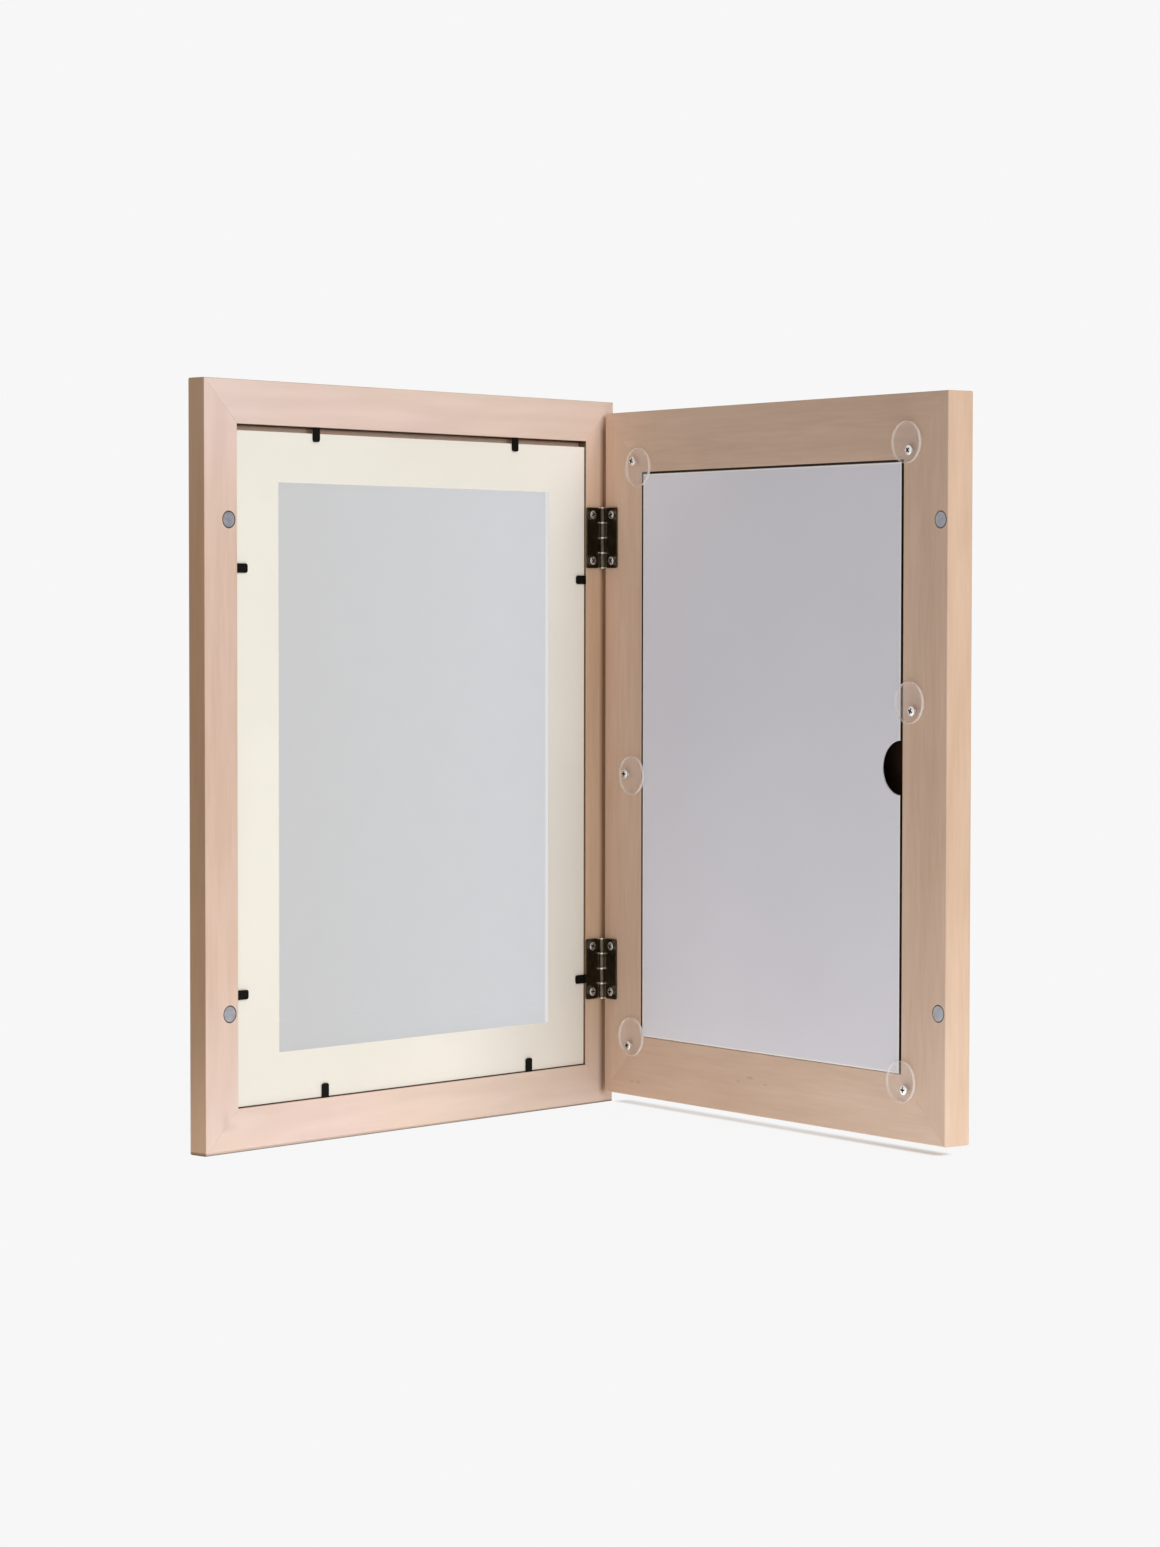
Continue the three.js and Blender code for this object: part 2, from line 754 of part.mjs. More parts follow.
function boxMagnets() {
  const x = boxWidth / 2 - magnetEdgeDistance;
  const lowerZ = lowerBoxMagnetLift - magnetZ;
  const meshes = [
    place(magnet('box_magnet_upper'), [x, boxFace, magnetZ], towardFront),
    place(magnet('box_magnet_lower'), [x, boxFace, lowerZ], towardFront),
  ];
  return { meshes, holes: meshes.map((mesh) => holeAt(mesh, magnetHole())) };
}

function boxHangers() {
  const top = [0, boxHeight / 2 - hangerEdgeDistance];
  const side = [hangerEdgeDistance - boxWidth / 2, 0];
  return [hanger('top', top, Math.PI), hanger('side', side, Math.PI / 2)];
}

// Hinge leaves and screws that the box carries, with the holes that the screws need
function boxHinges() {
  const { leaves, screws } = hingeSet('box', 1, 1);
  const hole = countersunkHole(hingeScrewHeadRadius, hingeScrewShankRadius, hingeScrewLength);
  const pins = [['upper', hingeZ], ['lower', -hingeZ]].map(
    ([level, z]) => place(hingePin(`hinge_pin_${level}`), [0, 0, z]),
  );
  const group = new THREE.Group();
  group.position.set(-boxWidth / 2, boxFace - axisStandOff, 0);
  group.add(...leaves, ...screws, ...pins);
  const { x, y } = group.position;
  const holes = screws.map((screw) => holeAt(screw, hole).translate(x, y, 0));
  return { group, holes };
}

function storageBox() {
  const buttons = boxButtons();
  const magnets = boxMagnets();
  const hangers = boxHangers();
  const hinges = boxHinges();
  const holes = [
    ...buttons.holes,
    ...magnets.holes,
    ...hangers.flatMap((set) => set.holes),
    ...hinges.holes,
  ];
  const profile = boxMemberProfile();
  const shapeOf = ({ name, span, length }) => {
    const bar = solid(mitredMember(profile, span, length));
    const isRail = name.startsWith('rail');
    const body = isRail ? bar.add(solid(ledge(span))) : bar;
    return body.translate([0, boxFace, 0]);
  };
  const group = new THREE.Group();
  group.add(...members('box', 'boxWood', memberPlan(boxWidth, boxHeight), shapeOf, holes));

  const panel = piece('display_panel', solid(displayPanel()), 'panel');
  const panelBack = boxFace + panelSetBack + panelThickness;
  group.add(place(panel, [panelX, panelBack, panelZ], towardFront));

  const backWidth = boxOpeningWidth + 2 * (backRabbetWidth - backPanelClearance);
  const backHeight = boxOpeningHeight + 2 * (backRabbetWidth - backPanelClearance);
  const back = new THREE.BoxGeometry(backWidth, backPanelThickness, backHeight);
  group.add(place(piece('back_panel', solid(back), 'backBoard'), [0, -backPanelThickness / 2, 0]));

  group.add(...buttons.meshes, ...magnets.meshes);
  group.add(...hangers.flatMap((set) => set.meshes), hinges.group);
  return group;
}

// Door, drawn closed about its hinge axis and then turned open

function doorTabs() {
  const order = ['first', 'second'];
  return tabPlan().map(([side, x, z, spin], i) => {
    const mesh = tab(`retaining_tab_${side}_${order[i % 2]}`);
    return place(mesh, [doorCentreX + x, doorInnerFace, z], towardBack, spin);
  });
}

function doorMagnets() {
  const x = boxWidth - magnetEdgeDistance;
  return [
    place(magnet('door_magnet_upper'), [x, doorInnerFace, magnetZ], towardBack),
    place(magnet('door_magnet_lower'), [x, doorInnerFace, -magnetZ], towardBack),
  ];
}

function door() {
  const tabs = doorTabs();
  const magnets = doorMagnets();
  const { leaves, screws } = hingeSet('door', -1, 0);
  const screwHole = countersunkHole(hingeScrewHeadRadius, hingeScrewShankRadius, hingeScrewLength);
  const holes = [
    ...tabs.map((mesh) => holeAt(mesh, tabSlot())),
    ...magnets.map((mesh) => holeAt(mesh, magnetHole())),
    ...screws.map((mesh) => holeAt(mesh, screwHole)),
  ].map((hole) => hole.translate(-doorCentreX, 0, 0));
  const profile = doorMemberProfile();
  const shapeOf = ({ span, length }) =>
    solid(mitredMember(profile, span, length)).translate([0, doorInnerFace, 0]);
  const wood = members('door', 'doorWood', memberPlan(doorWidth, doorHeight), shapeOf, holes);
  for (const member of wood) member.position.x = doorCentreX;

  const sheetY = (depth, thickness) => doorInnerFace - depth - thickness / 2;
  const glazing = piece('door_pane', solid(pane()), 'clear');
  place(glazing, [doorCentreX, sheetY(paneDepth, paneThickness), 0]);
  const mat = piece('mat_board', matBoard(), 'mat');
  const matZ = (matFootClearance - matHeadClearance) / 2;
  place(mat, [doorCentreX, sheetY(matDepth, matThickness), matZ]);

  const group = new THREE.Group();
  group.position.set(-boxWidth / 2, boxFace - axisStandOff, 0);
  group.rotation.z = -openAngle;
  group.add(...wood, glazing, mat, ...tabs, ...magnets, ...leaves, ...screws);
  return group;
}

const artFrame = new THREE.Group();
artFrame.add(storageBox(), door());

export default artFrame;
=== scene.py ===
"""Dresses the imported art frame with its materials, fine fittings, studio light and camera."""

import json
import math

import bmesh
import bpy
from mathutils import Matrix, Vector


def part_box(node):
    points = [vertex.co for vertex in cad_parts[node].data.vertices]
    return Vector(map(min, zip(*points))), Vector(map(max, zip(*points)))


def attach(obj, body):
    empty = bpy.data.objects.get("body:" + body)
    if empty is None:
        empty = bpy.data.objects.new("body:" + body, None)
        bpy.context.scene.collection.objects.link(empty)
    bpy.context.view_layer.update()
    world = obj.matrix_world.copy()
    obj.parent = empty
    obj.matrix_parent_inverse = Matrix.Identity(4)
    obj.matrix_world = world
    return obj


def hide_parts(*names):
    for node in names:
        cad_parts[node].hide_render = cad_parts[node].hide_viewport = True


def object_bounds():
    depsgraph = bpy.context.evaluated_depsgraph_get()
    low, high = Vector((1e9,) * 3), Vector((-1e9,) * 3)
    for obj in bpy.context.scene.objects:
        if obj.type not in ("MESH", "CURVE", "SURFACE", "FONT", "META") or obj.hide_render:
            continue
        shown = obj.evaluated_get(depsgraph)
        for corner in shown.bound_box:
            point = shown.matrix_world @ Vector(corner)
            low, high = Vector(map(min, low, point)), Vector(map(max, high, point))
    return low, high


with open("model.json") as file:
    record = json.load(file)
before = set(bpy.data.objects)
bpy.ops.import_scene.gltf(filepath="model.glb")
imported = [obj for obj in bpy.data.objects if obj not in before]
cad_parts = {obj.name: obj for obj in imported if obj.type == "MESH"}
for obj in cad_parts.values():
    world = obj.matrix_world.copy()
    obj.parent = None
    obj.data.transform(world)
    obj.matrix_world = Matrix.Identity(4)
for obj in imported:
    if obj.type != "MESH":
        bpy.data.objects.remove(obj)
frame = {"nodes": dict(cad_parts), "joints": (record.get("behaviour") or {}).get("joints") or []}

cad_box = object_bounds()
floor_level = cad_box[0].z
nodes = frame["nodes"]
millimetre = 0.001

# The photograph and the camera that took it
photo_width, photo_height = 1160, 1547
focal_length_in_pixels = 3852.5
camera_place = Vector((1.5534, -1.2817, 0.0752))
camera_azimuth = math.radians(53.618)
camera_pitch = math.radians(2.336)
camera_roll = math.radians(0.077)
sensor_size = 36.0
nearest_seen, farthest_seen = 0.05, 60

# Directions of the two leaves and the place of their hinge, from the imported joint
joints = {joint["name"]: joint for joint in frame["joints"]}
open_angle = math.radians(-joints["door_hinge"]["range_deg"][0])
hinge_axis = Vector(joints["door_hinge"]["pos_m"])
up = Vector((0, 0, 1))
box_across = Vector((1, 0, 0))
box_out = Vector((0, -1, 0))
box_back = Vector((0, 1, 0))
door_across = Vector((math.cos(open_angle), -math.sin(open_angle), 0))
door_out = Vector((math.sin(open_angle), math.cos(open_angle), 0))


# Camera


def photo_camera():
    data = bpy.data.cameras.new("photo_camera")
    data.sensor_width = sensor_size
    data.lens = focal_length_in_pixels * sensor_size / photo_height
    data.clip_start, data.clip_end = nearest_seen, farthest_seen
    camera = bpy.data.objects.new("photo_camera", data)
    turn = Matrix.Rotation(camera_azimuth, 4, "Z")
    tilt = Matrix.Rotation(math.pi / 2 - camera_pitch, 4, "X")
    roll = Matrix.Rotation(camera_roll, 4, "Z")
    view = Matrix.Translation(camera_place) @ turn @ tilt @ roll
    camera.matrix_world = view
    bpy.context.scene.collection.objects.link(camera)
    bpy.context.scene.camera = camera
    return view


camera_matrix = photo_camera()


def on_photo(pixel, point, normal):
    """Where the sight line through a pixel of the photograph meets a plane."""
    x = (pixel[0] - photo_width / 2) / focal_length_in_pixels
    y = (photo_height / 2 - pixel[1]) / focal_length_in_pixels
    sight = camera_matrix.to_3x3() @ Vector((x, y, -1))
    reach = (point - camera_place).dot(normal) / sight.dot(normal)
    return camera_place + reach * sight


# Building shading from nodes


class Shading:
    """Nodes that are being built round the first shader of a material or of the world."""

    def __init__(self, data, shader, output):
        data.use_nodes = True
        self.data = data
        self.tree = data.node_tree
        self.shader = self.tree.nodes[shader]
        self.output = self.tree.nodes[output]

    def feed(self, socket, value):
        if isinstance(value, bpy.types.NodeSocket):
            self.tree.links.new(value, socket)
        else:
            socket.default_value = value

    def node(self, kind, inputs=None, **settings):
        made = self.tree.nodes.new(kind)
        for key, value in settings.items():
            setattr(made, key, value)
        for key, value in (inputs or {}).items():
            self.feed(made.inputs[key], value)
        return made

    def place(self):
        """Place on the object, in metres in the row frame."""
        return self.node("ShaderNodeTexCoord").outputs["Object"]

    def facing(self, direction):
        """How far the surface looks along a direction of the object."""
        return self.along(self.node("ShaderNodeTexCoord").outputs["Normal"], direction)

    def math(self, operation, first, *others):
        """An operation on one value, or carried on through several."""
        if not others:
            return self.node("ShaderNodeMath", {0: first}, operation=operation).outputs[0]
        for other in others:
            inputs = {0: first, 1: other}
            first = self.node("ShaderNodeMath", inputs, operation=operation).outputs[0]
        return first

    def size(self, value):
        """A value without its sign."""
        return self.math("ABSOLUTE", value)

    def along(self, vector, direction):
        """How far a place lies along a direction."""
        inputs = {0: vector, 1: direction}
        return self.node("ShaderNodeVectorMath", inputs, operation="DOT_PRODUCT").outputs["Value"]

    def offset(self, place, start):
        """Way from a start to a place."""
        inputs = {0: place, 1: start}
        return self.node("ShaderNodeVectorMath", inputs, operation="SUBTRACT").outputs[0]

    def vector(self, x, y, z=0.0):
        return self.node("ShaderNodeCombineXYZ", {0: x, 1: y, 2: z}).outputs[0]

    def length(self, vector):
        return self.node("ShaderNodeVectorMath", {0: vector}, operation="LENGTH").outputs["Value"]

    def from_edge(self, value, middle, half):
        """How far a value lies inside the nearer of two edges beside a middle."""
        return self.math("SUBTRACT", half, self.size(self.math("SUBTRACT", value, middle)))

    def noise(self, vector, scale=1.0, detail=2.0, roughness=0.5):
        inputs = {"Vector": vector, "Scale": scale, "Detail": detail, "Roughness": roughness}
        return self.node("ShaderNodeTexNoise", inputs).outputs["Fac"]

    def span(self, value, low, high, to_low=0.0, to_high=1.0):
        """Value between low and high, carried over to another span and kept inside it."""
        inputs = {0: value, 1: low, 2: high, 3: to_low, 4: to_high}
        return self.node("ShaderNodeMapRange", inputs).outputs[0]

    def fade(self, value, low, high):
        """One up to low, and nought from high on."""
        return self.span(value, low, high, 1, 0)

    def mix(self, share, first, second, blend="MIX"):
        inputs = {"Factor": share, 6: first, 7: second}
        return self.node("ShaderNodeMix", inputs, data_type="RGBA", blend_type=blend).outputs[2]

    def dyed(self, body, tint):
        """Body colour multiplied by a tint."""
        return self.mix(1.0, body, tint, "MULTIPLY")

    def tinted(self, share, body, tint):
        """Body colour, multiplied by a tint as far as the share says."""
        return self.mix(share, body, self.dyed(body, tint))

    def bump(self, height, depth):
        inputs = {"Height": height, "Distance": depth, "Strength": 1.0}
        return self.node("ShaderNodeBump", inputs).outputs[0]

    def backdrop_rays(self):
        """One for what the eye sees, in gloss and through clear sheets too, nought for light."""
        rays = self.node("ShaderNodeLightPath").outputs
        return self.math("MAXIMUM", rays["Is Camera Ray"], rays["Is Glossy Ray"],
                         rays["Is Transmission Ray"])

    def finish(self, **inputs):
        """Feeds inputs of the first shader, whose names have _ for a blank here."""
        for key, value in inputs.items():
            self.feed(self.shader.inputs[key.replace("_", " ")], value)
        return self.data

    def show_mix(self, share, first, second):
        """Makes a mix of two shaders the surface."""
        mixed = self.node("ShaderNodeMixShader", {0: share, 1: first, 2: second})
        self.feed(self.output.inputs["Surface"], mixed.outputs[0])


def new_material(name):
    return Shading(bpy.data.materials.new(name), "Principled BSDF", "Material Output")


def colour(red, green, blue):
    return (red, green, blue, 1.0)


def grey(level):
    return colour(level, level, level)


# Values of a noise between which a pattern goes from one tone to the other
soft = (0.3, 0.7)
crisp = (0.35, 0.65)

# How far a face looks along a direction, from hardly to nearly straight
looks_along = (0.5, 0.9)


# Wood

door_pale = colour(0.747, 0.543, 0.436)
door_dark = colour(0.596, 0.402, 0.301)
door_blush = colour(0.815, 0.635, 0.57)
door_beige = colour(0.815, 0.637, 0.535)
blush_band_tint = colour(0.93, 0.92, 0.92)
box_pale = colour(0.73, 0.529, 0.399)
box_dark = colour(0.576, 0.386, 0.272)
knot_brown = colour(0.26, 0.14, 0.08)
# Painted shade: near-black brown inside the mouth of the box and in the gaps beside its panel, and
# browns and a tint for the rabbet of the door
gap_shade_brown = colour(0.035, 0.02, 0.012)
side_shade_brown = colour(0.2, 0.11, 0.055)
corner_shade_brown = colour(0.06, 0.028, 0.012)
lip_shade_tint = colour(0.92, 0.84, 0.74)

# Painted shade on the walls inside the mouth of the box
mouth_half_width = 107.2 * millimetre
mouth_top = 153.2 * millimetre
mouth_foot = -152.7 * millimetre
mouth_shade_edge = 0.05 * millimetre
box_face = Vector((0, -17 * millimetre, 0))

# Rabbet of the door, and the spans over which its painted shade begins and ends
door_middle = 140 * millimetre
leaf_stand_off = 2 * millimetre
door_face = hinge_axis - leaf_stand_off * door_out
rabbet_half_width = 129 * millimetre
rabbet_half_height = 170.5 * millimetre
rabbet_depth = 5.1 * millimetre
shade_from_depth = (0.4 * millimetre, 0.6 * millimetre)
shade_to_depth = (rabbet_depth + 0.1 * millimetre, rabbet_depth + 0.3 * millimetre)
shade_at_wall = (-0.15 * millimetre, -0.05 * millimetre)
dark_by_wall = (0.3 * millimetre, 1.2 * millimetre)

# Tints of the door, and the spans over which they come or go, as a level above the middle of the
# frame or as a run along the door from the hinge axis, in metres
door_low_tint = colour(0.96, 0.97, 0.96)
door_low_levels = (0.08, 0.17)
# Painted shade: the lower door darker towards the hinge
door_inner_shade = colour(0.9, 0.92, 0.91)
door_inner_runs = (0.05, 0.19)
door_inner_levels = (0.0, 0.15)
door_hinge_tint = colour(1.04, 1.01, 0.9)
door_hinge_runs = (0.008, 0.02)
door_hinge_levels = (0.14, 0.175)
# Painted shade in the joint between the door and the box, by the hinge axis
door_joint_shade = colour(0.48, 0.37, 0.29)
door_joint_start = (-6 * millimetre, -2.8 * millimetre)
door_joint_end = (-3 * millimetre, 0.6 * millimetre)
door_joint_foot = (-0.189, -0.185)
door_joint_top = (0.176, 0.183)
# Painted shade along the foot edge of the door
door_foot_shade = colour(0.5, 0.52, 0.54)
door_foot_levels = (floor_level + 0.4 * millimetre, floor_level + 0.8 * millimetre)
door_edge_tint = colour(0.67, 0.55, 0.395)
door_edge_levels, door_edge_light = (-0.04, 0.1), (0.86, 1)
edge_foot_levels, edge_foot_light = (-0.19, -0.135), (0.24, 0)

# The same for the box, with widths from its middle
# Painted light: the box paler by the hinge
box_hinge_light = colour(1.25, 1.24, 1.24)
box_hinge_widths = (-0.14, -0.095)
box_hinge_levels = (-0.12, 0.13)
# Painted light: paler and cooler at the low free corner of the box
low_corner_light = colour(1.12, 1.19, 1.25)
low_corner_widths = (-0.02, 0.14)
low_corner_levels = (-0.186, -0.05)
box_side_tint = colour(1.0, 0.985, 0.94)

# How fine each pattern of the grain is along and across it, its detail and its roughness
grain_patterns = {
    "blotches": (9.0, 17.0, 2.0, 0.5),
    "boards": (5.0, 30.0, 1.0, 0.5),
    "bands": (13.0, 120.0, 2.0, 0.5),
    "lines": (38.0, 480.0, 2.0, 0.55),
    "pores": (170.0, 2600.0, 2.0, 0.5),
}

# Contrast of each pattern, and from least to most, how far it brings in the dark tone
grain_tones = {
    "bands": (*soft, 0, 0.3),
    "lines": (*soft, 0, 0.24),
    "boards": (*crisp, 0, 0.24),
    "blotches": (*soft, 0, 0.26),
}
pore_tone = (0.62, 0.78, 0, 0.14)
pore_relief_share = 0.6
wood_roughness = (0.56, 0.68)

# Pixels of the photograph where small knots show, their radii in millimetres, how dark they are
box_knot_pixels = [((750, 1078), 1.2, 0.3), ((738, 1080), 0.7, 0.26), ((765, 1084), 0.7, 0.26),
                   ((632, 1081), 0.8, 0.26), ((638, 1082), 0.7, 0.26)]
door_knot_pixels = [((226, 1128), 3.2, 0.14)]
knot_length_share = 0.3
knot_core_share = 0.35
knot_reach_in_radii = 5
knot_pull = 0.6


def knots_at(pixels, point, normal):
    return [(on_photo(pixel, point, normal), radius * millimetre, darkness)
            for pixel, radius, darkness in pixels]


def inside_mouth(m, place):
    """One on the walls and ledges inside the mouth of the box, where shade is painted, nought
    elsewhere.
    """
    level = m.along(place, up)
    past_side = m.math("SUBTRACT", m.size(m.along(place, box_across)), mouth_half_width)
    past_top = m.math("SUBTRACT", level, mouth_top)
    past_foot = m.math("SUBTRACT", mouth_foot, level)
    past_face = m.math("SUBTRACT", m.along(place, box_out), box_face.dot(box_out))
    past = m.math("MAXIMUM", past_side, past_top, past_foot, past_face)
    return m.fade(past, -mouth_shade_edge, mouth_shade_edge)


def door_run(m, place):
    """Distance along the door from the hinge axis."""
    return m.along(m.offset(place, hinge_axis), door_across)


def door_depth(m, place):
    """Depth below the inner face of the door."""
    return m.math("SUBTRACT", m.along(m.offset(place, hinge_axis), -door_out), leaf_stand_off)


def shaded_rabbet(m, place, body):
    """Wood with painted shade in the rabbet of the door, darkest where it meets the walls."""
    depth = door_depth(m, place)
    from_side = m.from_edge(door_run(m, place), door_middle, rabbet_half_width)
    from_end = m.from_edge(m.along(place, up), 0.0, rabbet_half_height)
    inward = m.span(m.math("MINIMUM", from_side, from_end), *shade_at_wall)
    inside = m.math("MULTIPLY", m.span(depth, *shade_from_depth), m.fade(depth, *shade_to_depth),
                    inward)
    shaded_wood = m.mix(m.fade(from_side, *dark_by_wall), m.dyed(body, lip_shade_tint), side_shade_brown)
    shaded_wood = m.mix(m.fade(from_end, *dark_by_wall), shaded_wood, corner_shade_brown)
    return m.mix(inside, body, shaded_wood)


def door_tones(m, place, body):
    """Wood of the door: its tones from top to foot, by the hinges and on edges, with painted shade low
    by the hinge, in the joint and at the foot.
    """
    level = m.along(place, up)
    run = door_run(m, place)
    body = m.tinted(m.fade(level, *door_low_levels), body, door_low_tint)
    # Painted shade: the lower door darker towards the hinge
    inner = m.math("MULTIPLY", m.fade(run, *door_inner_runs), m.fade(level, *door_inner_levels))
    body = m.tinted(inner, body, door_inner_shade)
    by_hinge = m.math("MULTIPLY", m.fade(run, *door_hinge_runs),
                      m.fade(m.size(level), *door_hinge_levels))
    body = m.tinted(by_hinge, body, door_hinge_tint)
    # Painted shade in the joint by the hinge axis
    joint = m.math("MULTIPLY", m.fade(run, *door_joint_end), m.span(run, *door_joint_start),
                   m.fade(level, *door_joint_top), m.span(level, *door_joint_foot))
    body = m.tinted(joint, body, door_joint_shade)
    # Painted shade along the foot edge of the door
    body = m.tinted(m.fade(level, *door_foot_levels), body, door_foot_shade)
    on_edge = m.math("MAXIMUM", m.size(m.facing(door_across)), m.size(m.facing(up)))
    light = m.math("ADD", m.span(level, *door_edge_levels, *door_edge_light),
                   m.span(level, *edge_foot_levels, *edge_foot_light))
    edge = m.dyed(m.vector(light, light, light), door_edge_tint)
    return m.tinted(m.span(on_edge, *looks_along), body, edge)


def box_tones(m, place, body):
    """Wood of the box: painted light by the hinges and at its low free corner, and its tone on its
    sides.
    """
    width = m.along(place, box_across)
    level = m.along(place, up)
    # Painted light: paler by the hinge
    by_hinge = m.math("MULTIPLY", m.fade(width, *box_hinge_widths),
                      m.span(level, *box_hinge_levels))
    body = m.tinted(by_hinge, body, box_hinge_light)
    # Painted light at the low free corner
    low_corner = m.math("MULTIPLY", m.span(width, *low_corner_widths),
                        m.fade(level, *low_corner_levels))
    body = m.tinted(low_corner, body, low_corner_light)
    side = m.span(m.size(m.facing(box_across)), *looks_along)
    return m.tinted(side, body, box_side_tint)


def round_knots(m, u, v, grain, across, knots):
    """Place across the grain, bent round the knots, and how dark the knots are."""
    shade = 0.0
    for centre, radius, darkness in knots:
        du = m.math("MULTIPLY", m.math("SUBTRACT", u, centre.dot(grain)), knot_length_share)
        dv = m.math("SUBTRACT", v, centre.dot(across))
        away = m.length(m.vector(du, dv))
        pull = m.span(away, radius, knot_reach_in_radii * radius, knot_pull, 0)
        v = m.math("SUBTRACT", v, m.math("MULTIPLY", dv, pull))
        spot = m.span(away, knot_core_share * radius, radius, darkness, 0)
        shade = m.math("MAXIMUM", shade, spot)
    return v, shade


def blushed(m, place, boards, bands, body):
    """Wood of the door, bleached to a pink and beige blush towards its top and its foot."""
    bleached_heights, most_bleached = (0.1, 0.18), 0.84
    board_contrast, board_sway = (0.4, 0.6), 0.06
    pink_runs, pink_sway = (0.15, 0.29), 0.12
    pink_contrast = (0.38, 0.62)
    height = m.size(m.along(place, up))
    bleached = m.math("ADD", m.span(height, *bleached_heights, 0, most_bleached),
                      m.span(boards, *board_contrast, -board_sway, board_sway))
    wide = m.math("ADD", m.noise(place, scale=14),
                  m.span(door_run(m, place), *pink_runs, pink_sway, -pink_sway))
    blush = m.mix(m.span(wide, *pink_contrast), door_blush, door_beige)
    blush = m.tinted(m.span(bands, *crisp), blush, blush_band_tint)
    return m.mix(bleached, body, blush)


def wood(member, grain, across, seed, knots=()):
    """Pale straight grained wood whose grain runs along one direction."""
    of_door = member.startswith("door")
    pale, dark = (door_pale, door_dark) if of_door else (box_pale, box_dark)
    m = new_material(f"wood_{member}")
    place = m.place()
    u, v, w = (m.along(place, direction) for direction in (grain, across, grain.cross(across)))
    v, knot_shade = round_knots(m, u, v, grain, across, knots)
    shifted = m.math("ADD", u, seed)

    def grain_noise(fine_along, fine_across, detail, roughness):
        stretched = m.vector(m.math("MULTIPLY", shifted, fine_along),
                             m.math("MULTIPLY", v, fine_across),
                             m.math("MULTIPLY", w, fine_across))
        return m.noise(stretched, detail=detail, roughness=roughness)

    patterns = {name: grain_noise(*pattern) for name, pattern in grain_patterns.items()}
    lines, pores = patterns["lines"], patterns["pores"]
    tone = m.math("ADD", *(m.span(patterns[name], *span) for name, span in grain_tones.items()))
    body = m.mix(tone, pale, dark)
    if of_door:
        body = blushed(m, place, patterns["boards"], patterns["bands"], body)
    body = m.mix(m.span(pores, *pore_tone), body, dark)
    body = m.mix(knot_shade, body, knot_brown)
    if of_door:
        # Painted shade in the rabbet of the door
        body = shaded_rabbet(m, place, door_tones(m, place, body))
    else:
        # Painted shade on the walls and ledges inside the mouth of the box
        body = m.mix(inside_mouth(m, place), box_tones(m, place, body), gap_shade_brown)
    relief = m.math("ADD", lines, m.math("MULTIPLY", pores, pore_relief_share))
    return m.finish(Base_Color=body, Roughness=m.span(lines, *soft, *wood_roughness),
                    Normal=m.bump(relief, 0.05 * millimetre), Specular_IOR_Level=0.35)


box_knots = knots_at(box_knot_pixels, box_face, box_out)
door_knots = knots_at(door_knot_pixels, door_face, door_out)

# Direction of the grain of each member, direction across it, seed and knots
wood_members = {
    "door_stile_hinge": (up, door_across, 0.31),
    "door_stile_free": (up, door_across, 1.72, door_knots),
    "door_rail_top": (door_across, up, 2.45),
    "door_rail_bottom": (door_across, up, 3.18, door_knots),
    "box_stile_hinge": (up, box_across, 4.27),
    "box_stile_free": (up, box_across, 5.63),
    "box_rail_top": (box_across, up, 6.94),
    "box_rail_bottom": (box_across, up, 7.36, box_knots),
}


# Sheets


def mat_card():
    """Cream card with fine fibres, a white core that the slanted window cut shows, painted shade low
    down and painted light by the hinge.
    """
    low_levels, hinge_runs, hinge_levels = (-0.17, 0.0), (0.02, 0.09), (-0.05, 0.05)
    fibre_tone = (0.45, 0.8, 0, 0.12)
    off_flat = (0.75, 0.95)
    m = new_material("mat_card")
    place = m.place()
    level = m.along(place, up)
    fibres = m.noise(place, scale=900, detail=4, roughness=0.6)
    clouds = m.span(m.noise(place, scale=14), *soft)
    tint = m.mix(clouds, colour(0.84, 0.80, 0.71), colour(0.87, 0.83, 0.74))
    tint = m.mix(m.span(fibres, *fibre_tone), tint, colour(0.74, 0.70, 0.62))
    # Painted shade: darker towards the bottom
    tint = m.tinted(m.fade(level, *low_levels), tint, grey(0.92))
    # Painted light: paler by the hinge
    by_hinge = m.math("MULTIPLY", m.fade(door_run(m, place), *hinge_runs),
                      m.span(level, *hinge_levels))
    tint = m.tinted(by_hinge, tint, colour(1.07, 1.07, 1.09))
    cut = m.fade(m.size(m.facing(door_out)), *off_flat)
    tint = m.mix(cut, tint, colour(0.9, 0.89, 0.86))
    return m.finish(Base_Color=tint, Roughness=0.9, Normal=m.bump(fibres, 0.05 * millimetre),
                    Specular_IOR_Level=0.2)


